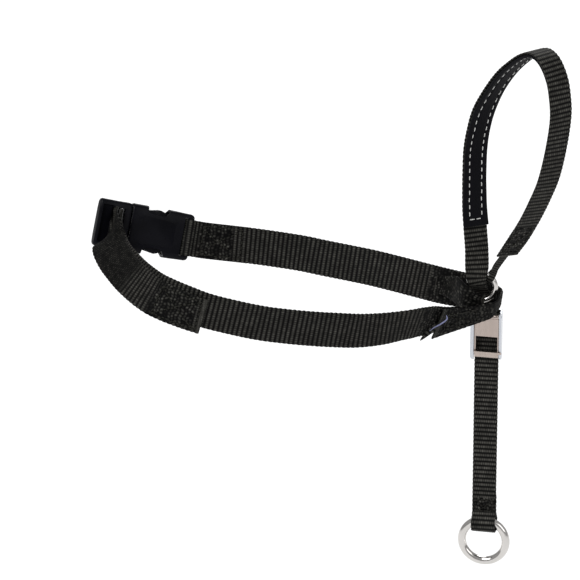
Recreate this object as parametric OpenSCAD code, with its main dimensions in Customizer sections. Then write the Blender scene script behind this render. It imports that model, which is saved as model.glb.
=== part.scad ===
// Head halter for a dog: a neck loop with a side-release buckle, a padded nose loop, a chin ring
// where both loops meet, and a control strap with a sliding clamp and a lead ring.
// Millimetres, +Z up. The origin is the middle of the neck loop, +X runs towards the chin ring and
// the control strap hangs down along -Z.

/* [Webbing] */
// Width of the neck webbing
neck_w = 19; // [18:0.5:20]
// Thickness of the neck webbing
neck_t = 1.5; // [1.2:0.1:1.6]
// Width of the nose and control webbing
nose_w = 12.7; // [12:0.1:13]
// Thickness of the nose and control webbing
nose_t = 1.2; // [1:0.1:1.3]
// Thickness of the soft nose lining
lining_t = 1.8; // [1:0.2:2.4]
// Width of the soft nose lining
lining_w = 13.6; // [12.7:0.1:14]
// Thickness of the sewing thread
thread_d = 0.7; // [0.5:0.1:0.9]

/* [Buckle] */
// Width of the buckle across the webbing
buckle_w = 25.4; // [25:0.2:26]
// Length of the socket half
socket_l = 35; // [34:0.5:36]
// Thickness of the socket half
socket_t = 7.6; // [7:0.2:8]
// Length of the plug frame outside the socket
plug_l = 18; // [18:0.5:20]
// Thickness of the plug frame
plug_t = 5.6; // [5:0.2:6]

/* [Rings] */
// Outer diameter of the chin ring
chin_d = 17.6; // [17:0.2:18]
// Wire diameter of the chin ring
chin_wire = 3; // [2.6:0.2:3]
// Outer diameter of the lead ring
lead_d = 27.6; // [27:0.2:28]
// Wire diameter of the lead ring
lead_wire = 4.3; // [4:0.1:4.4]

/* [Clamp] */
// Outside width of the clamp
clamp_w = 16; // [15.6:0.1:17]
// Height of the clamp
clamp_h = 26.5; // [25:0.5:27]
// Thickness of the clamp's sheet metal
sheet_t = 1; // [0.8:0.1:1]
// Diameter of the clamp's hinge pin
pin_d = 1.6; // [1.4:0.1:1.8]

/* [Hidden] */
$fn = 48;

web_black = [0.05, 0.05, 0.045];
lining_black = [0.03, 0.03, 0.04];
plastic_black = [0.04, 0.04, 0.05];
nickel = [0.75, 0.73, 0.72];
thread_white = [0.9, 0.9, 0.88];

lap = 0.1;                       // gap between two layers sewn together
neck_lap = neck_t + lap;         // from the middle of one neck layer to the middle of the next
nose_lap = nose_t + lap;

// ---- Where each half is placed ----
buckle_at = [-84, 28, 24];       // middle of the socket's mouth
buckle_turn = [-15, 17, 18];
chin_at = [98.5, 0, 1.5];        // middle of the chin ring
control_at = [102, 2.5, 0];      // the control strap hangs below this point
control_turn = [0, 0, -12];

function turned(v, a) =
  let (
    x1 = [v.x, v.y * cos(a.x) - v.z * sin(a.x), v.y * sin(a.x) + v.z * cos(a.x)],
    y1 = [x1.x * cos(a.y) + x1.z * sin(a.y), x1.y, -x1.x * sin(a.y) + x1.z * cos(a.y)]
  )
  [y1.x * cos(a.z) - y1.y * sin(a.z), y1.x * sin(a.z) + y1.y * cos(a.z), y1.z];

function buckle_station(v, w = 1) =
  let (p = buckle_at + turned(v, buckle_turn), u = turned([0, 0, 1], buckle_turn))
  [p.x, p.y, p.z, u.x, u.y, u.z, w];

function control_station(y, z, w = 1) =
  let (p = control_at + turned([0, y, z], control_turn), u = turned([1, 0, 0], control_turn))
  [p.x, p.y, p.z, u.x, u.y, u.z, w];

module on_buckle() translate(buckle_at) rotate(buckle_turn) children();
module on_control() translate(control_at) rotate(control_turn) children();

// ---- Webbing routes ----
// A station is [x, y, z, ux, uy, uz, w]: a point on the middle of the webbing, the direction of
// its width there, and the share of its full width that it keeps where it is gathered.
bar_x = 33.2;                    // the socket's end bar, in the buckle's own x
bar_r = 1.7;
bar_turn = bar_r + 0.2 + neck_t / 2;
rear_route = [
  buckle_station([38, -neck_lap / 2, 0]),
  [-43, 40, 11.5, 0.16, 0.36, 0.92, 1],
  [-27, 44, 8, 0.12, 0.36, 0.92, 1],
  [-14, 46, 5.5, 0.13, 0.36, 0.92, 1],
  [5, 47, 2, 0.15, 0.36, 0.92, 1],
  [18, 46, -0.5, 0.15, 0.36, 0.92, 1],
  [31, 44, -2.5, 0.17, 0.36, 0.92, 1],
  [43, 41, -4, 0.18, 0.36, 0.92, 1],
  [56, 36, -5.5, 0.2, 0.36, 0.91, 1],
  [68, 30, -6.5, 0.2, 0.36, 0.91, 1],
  [80, 23, -7, 0.17, 0.36, 0.92, 1],
  [91, 16, -6.5, 0.15, 0.3, 0.94, 0.95],
  [99, 12, -5.5, 0.1, 0.2, 0.97, 0.75],
  [105.3, 8.2, -4.9, 0.05, 0.1, 0.99, 0.54],
  [108.7, 2.5, -4.7, 0.1, 0, 0.99, 0.44],
  [107.8, -3.6, -5.6, 0.2, -0.1, 0.97, 0.47],
  [104.5, -7.6, -7.6, 0.3, -0.2, 0.93, 0.54],
  [98, -9, -9.4, 0.2, -0.3, 0.93, 0.62],
  [91, -10, -11, 0.05, -0.35, 0.93, 0.72],
  [84, -12, -12, -0.05, -0.35, 0.93, 0.82],
  [76, -15.5, -12.8, -0.15, -0.35, 0.92, 0.9]
];
front_route = [
  buckle_station([-6.2, -5, 0.5], 0.94),
  [-90.5, 15.5, 25.8, 0.5, 0.42, 0.75, 1],
  [-92.5, 7, 23.5, 0.72, 0.42, 0.55, 1],
  [-89.5, -3, 20.5, 0.74, 0.3, 0.6, 1],
  [-84.5, -13, 18.5, 0.7, 0.26, 0.66, 1],
  [-78.5, -23, 16.5, 0.64, 0.25, 0.72, 1],
  [-70, -33, 14, 0.56, 0.2, 0.78, 1],
  [-62, -38.5, 12, 0.48, 0.15, 0.84, 1],
  [-53.5, -42.5, 10, 0.38, 0.1, 0.9, 1],
  [-41.5, -46, 7, 0.28, 0, 0.96, 1],
  [-25, -48, 3.5, 0.24, 0, 0.97, 1],
  [-13, -48, 1, 0.21, 0, 0.98, 1],
  [-1, -47, -1, 0.19, 0, 0.98, 1],
  [11, -45, -3, 0.16, 0, 0.98, 1],
  [23.5, -42, -5, 0.13, 0, 0.99, 1],
  [35.5, -38, -7, 0.1, -0.05, 0.99, 1],
  [48, -33, -8, 0.08, -0.15, 0.98, 1],
  [60, -26.5, -8.5, 0.05, -0.3, 0.94, 1],
  [68, -20, -9.5, 0, -0.35, 0.93, 0.96],
  [76, -13.2, -11, -0.05, -0.35, 0.93, 0.86],
  [84, -9.9, -11, 0, -0.35, 0.93, 0.74],
  [91, -7.9, -10.2, 0.05, -0.35, 0.93, 0.62]
];
nose_route = [
  control_station(0, -9.8, 0.84),
  control_station(0, -9.2, 0.82),
  [101, 3.4, -7, 0.99, -0.15, 0, 0.77],
  [99, 3.7, -3.8, 1, -0.05, 0, 0.72],
  [97.6, 0.5, 0.8, 1, 0, 0, 0.63],
  [96.6, -3.4, 4.4, 1, 0.05, 0, 0.66],
  [95.8, -4.8, 8, 0.98, 0.15, 0, 0.8],
  [96, -4.2, 14, 0.95, 0.3, 0, 1],
  [95.8, -2.6, 24, 0.9, 0.42, 0, 1],
  [95, -1.4, 34, 0.87, 0.5, 0, 1],
  [94.2, 0, 45, 0.87, 0.5, 0, 1],
  [94, 0, 56, 0.87, 0.5, 0, 1],
  [94, 0, 67, 0.87, 0.5, 0, 1],
  [94.3, 0, 78, 0.87, 0.5, 0, 1],
  [95.5, -2, 89, 0.87, 0.5, 0, 1],
  [98, -5.5, 101, 0.86, 0.5, 0, 1],
  [102.5, -11.5, 114, 0.85, 0.52, 0, 1],
  [108.5, -19.5, 126.5, 0.84, 0.54, 0, 1],
  [114.5, -27.5, 136, 0.82, 0.57, 0, 1],
  [119.5, -34, 141.5, 0.8, 0.6, 0, 1],
  [124.5, -40.5, 142.5, 0.8, 0.6, 0, 1],
  [129, -46.5, 139.5, 0.82, 0.57, 0, 1],
  [132.5, -51, 132.5, 0.84, 0.54, 0, 1],
  [134, -53.5, 123, 0.86, 0.5, 0, 1],
  [134.3, -53.5, 112.5, 0.87, 0.5, 0, 1],
  [132.5, -51, 96, 0.88, 0.48, 0, 1],
  [129.5, -47, 79, 0.89, 0.46, 0, 1],
  [125.5, -42, 65.5, 0.9, 0.44, 0, 1],
  [121, -36, 52.5, 0.9, 0.42, 0, 1],
  [115.5, -28.5, 39, 0.9, 0.42, -0.1, 1],
  [110.5, -22, 28, 0.9, 0.4, -0.2, 1]
];
// The doubled end of the rear strap, which is sewn on its front and covers the ring's lower left
fold_route = [
  [76, 23.6, -6.3, 0.2, 0.36, 0.92, 0.6],
  [81, 17.5, -5.2, 0.2, 0.3, 0.93, 0.55],
  [84.5, 9, -4.4, 0.1, 0.1, 0.98, 0.5],
  [86.8, 2, -4, 0, 0, 1, 0.48],
  [90, -2.4, -3.6, 0, -0.05, 1, 0.46],
  [95, -3.6, -3.8, 0, -0.05, 1, 0.44],
  [100, -3.7, -4.8, 0, -0.05, 1, 0.4]
];
tape_share = 0.38;               // the ring tape's width as a share of the nose webbing
tape_route = [
  [118.8, -31.9, 48.6, 0.9, 0.42, 0, tape_share],
  [114.5, -26.3, 38, 0.9, 0.42, -0.1, tape_share],
  [109.8, -20.2, 27.9, 0.9, 0.38, -0.2, tape_share],
  [105.6, -11.5, 17.5, 0.85, 0.1, -0.5, tape_share],
  [104.2, -5.2, 10.5, 0.77, 0, -0.64, tape_share],
  [102.7, -2.7, 6.6, 0.77, 0, -0.64, tape_share],
  [101.5, 0, 5, 0.77, 0, -0.64, tape_share],
  [102.7, 2.7, 6.6, 0.77, 0, -0.64, tape_share],
  [104.9, 1.6, 9.6, 0.77, 0, -0.64, tape_share],
  [105.9, -3, 12.2, 0.8, 0, -0.6, tape_share],
  [107.2, -10, 17.5, 0.85, 0.1, -0.5, tape_share]
];

// The sewn loop that holds the lead ring, in the control strap's own y and z
lead_pivot = [0.7, -133.3];
lead_turn = 4.4;
strap_end_z = -117;
control_top_z = -10.5;
control_route = concat(
  [
    control_station(0, control_top_z, 0.92),
    control_station(0, -15),
    control_station(0, -40),
    control_station(0, -80),
    control_station(0, -110),
    control_station(0, -122),
    control_station(-0.1, -127)
  ],
  [
    for (a = [160 : 27.5 : 380])
      control_station(lead_pivot.x + lead_turn * cos(a), lead_pivot.y + lead_turn * sin(a))
  ],
  [
    control_station(nose_lap + 0.2, -127),
    control_station(nose_lap + 0.05, -122),
    control_station(nose_lap, strap_end_z)
  ]
);

// ---- Sweeping a flat strap along a route ----
function unit(v) = v / norm(v);
function point(s) = [s[0], s[1], s[2]];
function side(s) = [s[3], s[4], s[5]];
function last(route) = len(route) - 1;

// The station at any place q along a route, on a smooth curve through its stations
function at(route, q) =
  let (
    i = min(max(floor(q), 0), last(route) - 1),
    t = q - i,
    b = route[i],
    c = route[i + 1],
    a = i > 0 ? route[i - 1] : 2 * b - c,
    d = i + 2 <= last(route) ? route[i + 2] : 2 * c - b
  )
  b + (c - a) * (t / 2) + (2 * a - 5 * b + 4 * c - d) * (t * t / 2)
    + (3 * b - a - 3 * c + d) * (t * t * t / 2);

function heading(route, q) =
  unit(point(at(route, min(q + 0.05, last(route)))) - point(at(route, max(q - 0.05, 0))));
function across(route, q) =
  let (t = heading(route, q), u = side(at(route, q)))
  unit(u - t * (u * t));
function outward(route, q) = cross(heading(route, q), across(route, q));

// A point beside the route: v across the webbing and h off its middle
function beside(route, q, v, h) =
  point(at(route, q)) + across(route, q) * v + outward(route, q) * h;

// A station of a layer that lies h off the route and v to one side
function layer_station(route, q, h, v = 0) =
  let (p = beside(route, q, v, h), u = across(route, q))
  [p.x, p.y, p.z, u.x, u.y, u.z, at(route, q)[6]];
function layer(route, from, to, step, h, v = 0) =
  [for (q = [from : step : to]) layer_station(route, q, h, v)];

function ring_corners(route, q, w, t) =
  let (half = w * at(route, q)[6] / 2)
  [
    beside(route, q, -half, -t / 2),
    beside(route, q, half, -t / 2),
    beside(route, q, half, t / 2),
    beside(route, q, -half, t / 2)
  ];

module strap(route, w, t, from = 0, to = -1, per = 3) {
  end = to < 0 ? last(route) : to;
  count = ceil((end - from) * per);
  rings = [for (i = [0 : count]) ring_corners(route, from + (end - from) * i / count, w, t)];
  points = [for (r = rings) each r];
  walls = [
    for (i = [0 : count - 1], k = [0 : 3])
      let (a = 4 * i + k, b = 4 * i + (k + 1) % 4)
        each [[a, a + 4, b + 4], [a, b + 4, b]]
  ];
  far = 4 * count;
  caps = [[0, 1, 2], [0, 2, 3], [far + 2, far + 1, far], [far + 3, far + 2, far]];
  polyhedron(points, concat(walls, caps), convexity = 10);
}

// One stitch: a short bar of thread lying on a strap's face
module stitch(a, b, up) {
  along = unit(b - a);
  wide = cross(up, along) * (thread_d / 2);
  high = up * (thread_d * 0.6);
  corners = [
    a - wide, a + wide, b + wide, b - wide,
    a - wide + high, a + wide + high, b + wide + high, b - wide + high
  ];
  polyhedron(corners, [
    [0, 1, 2], [0, 2, 3], [4, 6, 5], [4, 7, 6], [0, 4, 5], [0, 5, 1],
    [1, 5, 6], [1, 6, 2], [2, 6, 7], [2, 7, 3], [3, 7, 4], [3, 4, 0]
  ]);
}

// A row of stitches from [q, v] to [q, v] on the face h off the middle of a route
module stitch_row(route, from, to, count, h) {
  up = sign(h);
  fill = 0.66;
  for (i = [0 : count - 1]) {
    a = from + (to - from) * i / count;
    b = from + (to - from) * (i + fill) / count;
    stitch(
      beside(route, a[0], a[1], h),
      beside(route, b[0], b[1], h),
      up * outward(route, (a[0] + b[0]) / 2)
    );
  }
}

// A sewn box with one diagonal, whose rows stop short of each other
module box_stitch(route, q0, q1, half, h, along, over) {
  gap = 0.14 * (q1 - q0);
  clear_v = 1.3;
  stitch_row(route, [q0, -half], [q1, -half], along, h);
  stitch_row(route, [q1, half], [q0, half], along, h);
  stitch_row(route, [q0, half - clear_v], [q0, clear_v - half], over, h);
  stitch_row(route, [q1, clear_v - half], [q1, half - clear_v], over, h);
  stitch_row(route, [q0 + gap, 2 * clear_v - half], [q1 - gap, half - 2 * clear_v], along - 1, h);
}

on_face = neck_t / 2 + 0.12;     // stitches start just clear of the webbing
on_nose = nose_t / 2 + 0.12;

// ---- Neck straps ----
// The rear strap's end goes round the socket's bar and lies behind the strap
rear_full = concat(
  [for (q = [2.4 : -0.4 : 0.3]) layer_station(rear_route, q, -neck_lap)],
  [
    for (a = [-5 : 38 : 190])
      buckle_station([bar_x - bar_turn * sin(a), bar_turn * cos(a), 0])
  ],
  rear_route
);
module neck_rear_strap() {
  color(web_black) strap(rear_full, neck_w, neck_t);
}

split_q = 3.2;                   // where the part that travels with the plug begins
split_gap = 0.16;
tail_end_q = 8.9;                // where the folded-back end of the front strap stops
tail_drop = 2.2;                 // how far the tail's end lies below the strap
function tail_station(q) =
  layer_station(front_route, q, neck_lap, -tail_drop * min(1, max(0, q - 1.5) / 5));
module neck_front_strap() {
  color(web_black) strap(front_route, neck_w, neck_t, from = split_q + split_gap);
}
module neck_front_tail() {
  color(web_black)
    strap([for (i = [0 : 18]) tail_station(split_q + split_gap + (tail_end_q - split_q) * i / 18)],
      neck_w, neck_t, per = 1);
}

web_bar_x = -7.5;
web_bar_r = 1.3;
web_bar_turn = web_bar_r + 0.25 + neck_t / 2;
loop_route = concat(
  [for (q = [split_q : -0.4 : 0.3]) layer_station(front_route, q, 0)],
  [
    for (a = [-20 : 40 : 200])
      buckle_station([web_bar_x + web_bar_turn * cos(a), web_bar_turn * sin(a), 0], 0.93)
  ],
  [buckle_station([-9.3, -4.4, 0.5], 0.93)],
  [for (q = [1.4 : 0.45 : split_q + 0.01]) tail_station(q)]
);
module buckle_strap_loop() {
  color(web_black) strap(loop_route, neck_w, neck_t, per = 2);
}

module rear_end_stitching() {
  color(web_black) box_stitch(rear_route, 0.6, 2.1, 7.5, on_face, 9, 6);
}
module front_tail_stitching() {
  tail = [for (i = [0 : 12]) tail_station(6.4 + (tail_end_q - 6.4) * i / 12)];
  color(web_black) box_stitch(tail, 1, 11.2, 7.5, on_face, 10, 6);
}
module chin_join_stitching() {
  color(web_black) box_stitch(rear_route, 17.9, 19.6, 4.4, -on_face, 6, 4);
}

module chin_fold() {
  color(web_black) strap(fold_route, neck_w, neck_t, per = 4);
}

// ---- Buckle ----
half_w = buckle_w / 2;
half_t = socket_t / 2;
throat_w = 10.4;                 // half width of the socket's throat at its lip
throat_t = 2.6;                  // half height of the throat
lip_l = 3;                       // length of the narrow lip
relief_w = 11.3;                 // half width behind the lip
window_x = 8.5;                  // where the side windows start
window_end = 21;
slot_x = 28.2;
web_gap_w = 10.2;                // half width of the gap that the webbing passes

module window_cut() {
  linear_extrude(height = socket_t + 2, center = true)
    polygon([
      [window_x, half_w + 2], [window_x, 10], [window_x + 1, 9.2], [16.5, 8.6],
      [18.5, 9], [19.6, 10], [window_end, 12], [window_end + 0.6, half_w + 2]
    ]);
}
ear_in = 0.6;                    // how far the ears stand in from the socket's sides
ear_t = 5.6;                     // thickness of the ears beside the webbing
module buckle_socket() {
  color(plastic_black) on_buckle() rotate([90, 0, 0]) {
    difference() {
      linear_extrude(height = socket_t, center = true)
        polygon([
          [0, -half_w + 0.8], [0.8, -half_w], [slot_x, -half_w + 0.6], [slot_x, half_w - 0.6],
          [0.8, half_w], [0, half_w - 0.8]
        ]);
      translate([-1, -throat_w, -throat_t]) cube([26, 2 * throat_w, 2 * throat_t]);
      translate([lip_l, -relief_w, -throat_t]) cube([20, 2 * relief_w, 2 * throat_t]);
      window_cut();
      mirror([0, 1, 0]) window_cut();
    }
    for (s = [-1, 1])
      translate([slot_x - 0.5, s * (web_gap_w + half_w - ear_in) / 2, 0])
        cube_centred([socket_l - slot_x + 0.5, half_w - ear_in - web_gap_w, ear_t]);
    translate([bar_x, 0, 0]) rotate([90, 0, 0])
      cylinder(r = bar_r, h = 2 * web_gap_w + 1, center = true);
  }
}
// A block that starts at x = 0 and is centred across
module cube_centred(size) translate([0, -size.y / 2, -size.z / 2]) cube(size);

shoulder_x = -0.4;
window_in = 2.4;                 // thickness of the frame's wall next to the socket
rail_l = 5.8;                    // length of the plain rail at the outer end
tine_l = 21;
module buckle_plug_frame() {
  color(plastic_black) on_buckle() rotate([90, 0, 0]) {
    difference() {
      linear_extrude(height = plug_t, center = true)
        polygon([
          [-plug_l, -half_w + 1.4], [1.2 - plug_l, -half_w + 0.2], [shoulder_x, -half_w + 0.2],
          [shoulder_x, half_w - 0.2], [1.2 - plug_l, half_w - 0.2], [-plug_l, half_w - 1.4]
        ]);
      translate([rail_l - plug_l, -web_gap_w, -plug_t])
        cube([plug_l - rail_l - window_in + shoulder_x, 2 * web_gap_w, 2 * plug_t]);
    }
    translate([web_bar_x, 0, 0]) rotate([90, 0, 0])
      cylinder(r = web_bar_r, h = 2 * web_gap_w + 1, center = true);
    translate([shoulder_x - 0.4, 0, 0]) cube_centred([tine_l, 2.6, 2.4]);
  }
}

// The release arms pivot beside the shoulder and bend inwards as the plug slides out. Their
// outer edge climbs so slowly that it always clears the socket's lip.
arm_pivot_x = 1.3;
arm_pivot_w = 8.7;
arm_rate = 0.0085;               // radians of bend for each millimetre of travel
arm_crest_x = 15.5;
arm_tip_x = 21.4;
arm_clear = 0.3;
function arm_edge(x) =
  throat_w - arm_clear + 0.88 * arm_rate * max(0, x - lip_l) * max(0, x - arm_pivot_x);
module release_arm() {
  root_r = 1.2;
  outline = concat(
    [[arm_pivot_x, arm_pivot_w - root_r], [15, arm_pivot_w - root_r], [20.6, 6.2], [arm_tip_x, 6.8]],
    [[arm_tip_x, 8.2], [19.6, 9.6], [17.4, 10.9]],
    [for (x = [arm_crest_x : -2 : 3]) [x, arm_edge(x)]],
    [[arm_pivot_x, arm_pivot_w + root_r]]
  );
  linear_extrude(height = 2 * throat_t - 0.6, center = true) {
    polygon(outline);
    translate([arm_pivot_x, arm_pivot_w]) circle(r = root_r);
  }
}
module upper_release_arm() {
  color(plastic_black) on_buckle() rotate([90, 0, 0]) release_arm();
}
module lower_release_arm() {
  color(plastic_black) on_buckle() rotate([90, 0, 0]) mirror([0, 1, 0]) release_arm();
}

// ---- Rings ----
module wire_ring(d, wire) {
  rotate([90, 0, 0]) rotate_extrude($fn = 64) translate([(d - wire) / 2, 0]) circle(d = wire, $fn = 32);
}
module chin_ring() {
  color(nickel) translate(chin_at) wire_ring(chin_d, chin_wire);
}
lead_drop = 10.2;                // from the lead ring's pivot down to its middle
module lead_ring() {
  color(nickel) on_control() translate([0, lead_pivot.x, lead_pivot.y - lead_drop])
    wire_ring(lead_d, lead_wire);
}

// ---- Nose loop ----
lining_from = 9.2;
lining_to = 26.6;
lining_off = -(nose_t / 2 + 0.15 + lining_t / 2);
lining_face = -(nose_t / 2 + 0.15 + lining_t + 0.12);
module nose_strap() {
  color(web_black) strap(nose_route, nose_w, nose_t);
}
module nose_lining() {
  color(lining_black)
    strap(layer(nose_route, lining_from, lining_to, 0.3, lining_off), lining_w, lining_t, per = 1);
}
stitch_v = 3.3;                  // the two rows run this far from the middle
module lining_stitching() {
  color(thread_white) {
    stitch_row(nose_route, [lining_from + 0.5, -stitch_v], [lining_to - 0.3, -stitch_v], 36,
      lining_face);
    stitch_row(nose_route, [lining_from + 0.5, stitch_v], [lining_to - 0.3, stitch_v], 36,
      lining_face);
    stitch_row(nose_route, [lining_from + 0.35, -stitch_v], [lining_from + 0.35, stitch_v], 2,
      lining_face);
  }
}
module ring_tape_loop() {
  color(web_black) strap(tape_route, nose_w, 1);
}
module nose_end_stitching() {
  color(web_black) box_stitch(nose_route, 28.4, 29.75, 4.6, on_nose, 6, 4);
}

// ---- Control strap ----
module control_strap() {
  color(web_black) strap(control_route, nose_w, nose_t, per = 2);
}
module control_end_stitching() {
  color(web_black) box_stitch(control_route, 4.72, 5.8, 4.6, on_nose, 3, 4);
}

// ---- Clamp: a channel round the strap with a hinged gate that bites it ----
clamp_top = -12;
wall_front = -4.3;               // front edge of the channel's side walls
back_y = 1.6;
inner_w = clamp_w - 2 * sheet_t;
pin_y = -3.3;
pin_z = clamp_top - 2.4;
corner_r = 3;
module side_wall() {
  rotate([0, 90, 0]) linear_extrude(height = sheet_t) difference() {
    union() {
      translate([-clamp_top, wall_front + corner_r])
        square([clamp_h, back_y + sheet_t - wall_front - corner_r]);
      translate([-clamp_top, wall_front]) square([clamp_h - corner_r, corner_r + 1]);
      translate([-clamp_top + clamp_h - corner_r, wall_front + corner_r]) circle(r = corner_r);
    }
    translate([-pin_z, pin_y]) circle(d = pin_d);
  }
}
module clamp_frame() {
  color(nickel) on_control() {
    translate([-clamp_w / 2, 0, 0]) side_wall();
    translate([clamp_w / 2 - sheet_t, 0, 0]) side_wall();
    translate([-clamp_w / 2, back_y, clamp_top - clamp_h]) cube([clamp_w, sheet_t, clamp_h]);
  }
}
module clamp_pin() {
  color(nickel) on_control() translate([0, pin_y, pin_z]) rotate([0, 90, 0])
    cylinder(d = pin_d, h = clamp_w + 0.4, center = true);
}
gate_w = inner_w - 0.6;
gate_top = pin_z + 1.3;
gate_h = 24;
window_z = -25.5;                // top of the window that shows the webbing
window_h = 8;
lip_out = 1.6;                   // how far the finger lip stands out of the gate
lip_over = 1.8;                  // how far it reaches past the gate's side
tooth_h = 1.6;
tooth_count = 6;
module clamp_gate() {
  knuckle_r = 1.3;
  face_y = pin_y - sheet_t / 2;
  color(nickel) on_control() difference() {
    union() {
      translate([-gate_w / 2, face_y, gate_top - gate_h]) cube([gate_w, sheet_t, gate_h - 1.3]);
      translate([0, pin_y, pin_z]) rotate([0, 90, 0])
        cylinder(r = knuckle_r, h = gate_w, center = true);
      translate([-gate_w / 2, face_y - lip_out, window_z - window_h - sheet_t])
        cube([gate_w, lip_out + 0.1, sheet_t]);
      translate([-gate_w / 2, face_y - lip_out, window_z - window_h - sheet_t])
        cube([gate_w + lip_over, 0.8, sheet_t]);
      for (i = [0 : tooth_count - 1])
        translate([-gate_w / 2 + 1.2 + i * (gate_w - 2.4) / (tooth_count - 1), face_y + sheet_t - 0.1,
          gate_top - gate_h + 1.2])
          tooth();
    }
    translate([-5.9, face_y - 1, window_z - window_h]) cube([11.8, 3, window_h]);
    translate([0, pin_y, pin_z]) rotate([0, 90, 0])
      cylinder(d = pin_d + 0.12, h = clamp_w, center = true);
  }
}
// A small wedge that points at the strap
module tooth() {
  rotate([0, 90, 0]) linear_extrude(height = 0.9, center = true)
    polygon([[-0.9, 0], [0.9, 0], [0, tooth_h]]);
}

neck_rear_strap();
neck_front_strap();
neck_front_tail();
buckle_socket();
rear_end_stitching();
front_tail_stitching();
chin_join_stitching();
chin_fold();
buckle_plug_frame();
buckle_strap_loop();
upper_release_arm();
lower_release_arm();
chin_ring();
nose_strap();
ring_tape_loop();
nose_lining();
lining_stitching();
nose_end_stitching();
control_strap();
control_end_stitching();
clamp_frame();
clamp_gate();
clamp_pin();
lead_ring();
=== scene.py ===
import math

import bmesh
import bpy
import numpy as np
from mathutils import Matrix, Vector


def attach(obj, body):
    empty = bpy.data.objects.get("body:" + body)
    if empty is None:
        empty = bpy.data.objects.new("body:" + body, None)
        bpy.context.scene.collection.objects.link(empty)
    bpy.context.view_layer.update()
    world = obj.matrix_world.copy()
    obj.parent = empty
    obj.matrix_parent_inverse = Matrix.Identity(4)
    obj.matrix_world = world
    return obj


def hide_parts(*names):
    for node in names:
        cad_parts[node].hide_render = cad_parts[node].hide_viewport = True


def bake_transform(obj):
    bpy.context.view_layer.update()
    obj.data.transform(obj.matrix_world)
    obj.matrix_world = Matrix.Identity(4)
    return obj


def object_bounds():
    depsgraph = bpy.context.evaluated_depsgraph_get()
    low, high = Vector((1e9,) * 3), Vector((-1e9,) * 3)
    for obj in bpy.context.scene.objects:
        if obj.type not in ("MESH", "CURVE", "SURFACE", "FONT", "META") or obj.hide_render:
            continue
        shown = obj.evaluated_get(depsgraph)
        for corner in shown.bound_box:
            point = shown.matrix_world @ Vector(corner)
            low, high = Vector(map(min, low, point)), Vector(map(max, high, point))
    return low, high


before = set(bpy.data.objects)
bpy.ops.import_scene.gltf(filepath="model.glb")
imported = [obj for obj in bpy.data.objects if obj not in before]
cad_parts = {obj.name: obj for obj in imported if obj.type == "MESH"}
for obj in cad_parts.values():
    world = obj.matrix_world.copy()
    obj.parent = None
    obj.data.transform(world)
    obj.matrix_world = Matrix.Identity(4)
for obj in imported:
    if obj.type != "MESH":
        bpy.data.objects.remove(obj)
cad_lo, cad_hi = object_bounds()

# Lengths are in millimetres up to the point where a mesh is made, and every mesh is in metres.
MM = 0.001

# ---- Sizes, the same as the CAD part's ----
NECK_W, NECK_T = 19.0, 1.5
NOSE_W, NOSE_T = 12.7, 1.2
LINING_W, LINING_T = 13.6, 1.8
LAP = 0.1
NECK_LAP, NOSE_LAP = NECK_T + LAP, NOSE_T + LAP
BUCKLE_W, PLUG_L = 25.4, 18.0
CHIN_D, CHIN_WIRE, LEAD_D, LEAD_WIRE = 17.6, 3.0, 27.6, 4.3
CLAMP_W, CLAMP_H, SHEET_T, PIN_D = 16.0, 26.5, 1.0, 1.6


# ---- Frames of the two halves ----
def turn(ax, ay, az):
    """The rotation by these degrees about x, then y, then z."""
    a, b, c = (math.radians(v) for v in (ax, ay, az))
    rx = np.array([[1, 0, 0], [0, math.cos(a), -math.sin(a)], [0, math.sin(a), math.cos(a)]])
    ry = np.array([[math.cos(b), 0, math.sin(b)], [0, 1, 0], [-math.sin(b), 0, math.cos(b)]])
    rz = np.array([[math.cos(c), -math.sin(c), 0], [math.sin(c), math.cos(c), 0], [0, 0, 1]])
    return rz @ ry @ rx


BUCKLE_AT, BUCKLE_TURN = np.array([-84.0, 28.0, 24.0]), turn(-15, 17, 18)
CONTROL_AT, CONTROL_TURN = np.array([102.0, 2.5, 0.0]), turn(0, 0, -12)
CHIN_AT = np.array([98.5, 0.0, 1.5])


def on_buckle(p):
    """Halter points from the buckle's own x (along it), width and thickness."""
    p = np.asarray(p, float)
    local = np.stack([p[..., 0], -p[..., 2], p[..., 1]], -1)
    return BUCKLE_AT + local @ BUCKLE_TURN.T


def on_control(p):
    """Halter points from the control strap's own x (width), y (depth) and z (up)."""
    return CONTROL_AT + np.asarray(p, float) @ CONTROL_TURN.T


def buckle_station(v, w=1.0):
    """A route's station at the buckle, with the strap's width across it."""
    return [*(BUCKLE_AT + BUCKLE_TURN @ np.array(v, float)), *BUCKLE_TURN[:, 2], w]


def control_station(y, z, w=1.0):
    """A route's station in the middle of the control strap's width."""
    return [*on_control([0, y, z]), *CONTROL_TURN[:, 0], w]


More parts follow.
